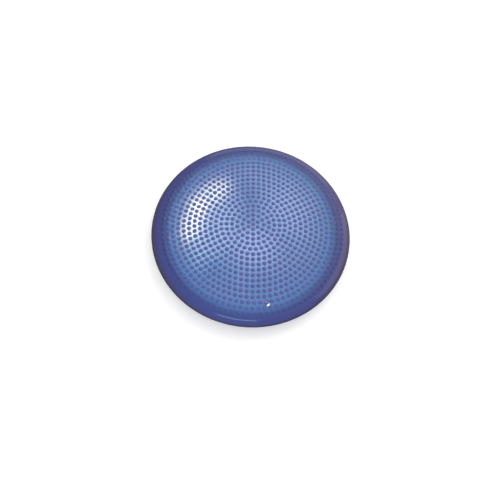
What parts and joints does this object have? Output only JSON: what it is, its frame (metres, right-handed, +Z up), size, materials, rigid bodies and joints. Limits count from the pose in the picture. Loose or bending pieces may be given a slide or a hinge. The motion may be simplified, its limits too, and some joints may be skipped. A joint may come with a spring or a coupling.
{
  "type": "wobble cushion",
  "caption": "Round inflated balance cushion of soft PVC with a nubbed standing face, rounded rim, flat resting patch and plugged filling valve.",
  "frame": {"origin": "centre of the flat patch that the cushion rests on, on the disc's axis", "axes": "+Z up along the disc's axis; the valve is near the edge of the standing face, towards -Y and a little towards +X"},
  "size_m": [0.33, 0.33, 0.05],
  "materials": {
    "face_pvc": "glossy, slightly translucent blue-violet PVC",
    "wall_pvc": "glossy, smooth blue-violet PVC",
    "weld_pvc": "glossy blue-violet PVC, pressed flat by the weld",
    "floor_pvc": "blue-violet PVC, dulled by the floor",
    "valve_rubber": "soft blue rubber, satin",
    "plug_plastic": "glossy translucent blue plastic"
  },
  "bodies": {
    "underside": {"floor_face": "floor_pvc"},
    "rim": {"lower_wall": "wall_pvc", "rim_weld": "weld_pvc", "upper_wall": "wall_pvc"},
    "top": {"standing_face": "face_pvc", "valve_seat": "valve_rubber"},
    "plug": {"valve_plug": "plug_plastic"}
  },
  "joints": [
    {"name": "wobble_forward_back", "type": "hinge", "parent": "underside", "child": "rim", "pos_m": [0, 0, 0.027], "axis": [1, 0, 0], "range_deg": [-6, 6], "stiffness_Nm_per_rad": 40, "deforming": ["lower_wall"]},
    {"name": "wobble_side_to_side", "type": "hinge", "parent": "rim", "child": "top", "pos_m": [0, 0, 0.027], "axis": [0, 1, 0], "range_deg": [-6, 6], "stiffness_Nm_per_rad": 40, "deforming": ["upper_wall"]},
    {"name": "valve_plug_pull", "type": "slide", "parent": "top", "child": "plug", "axis": [0.0164, -0.0602, 0.9981], "range_m": [0, 0.012]}
  ]
}
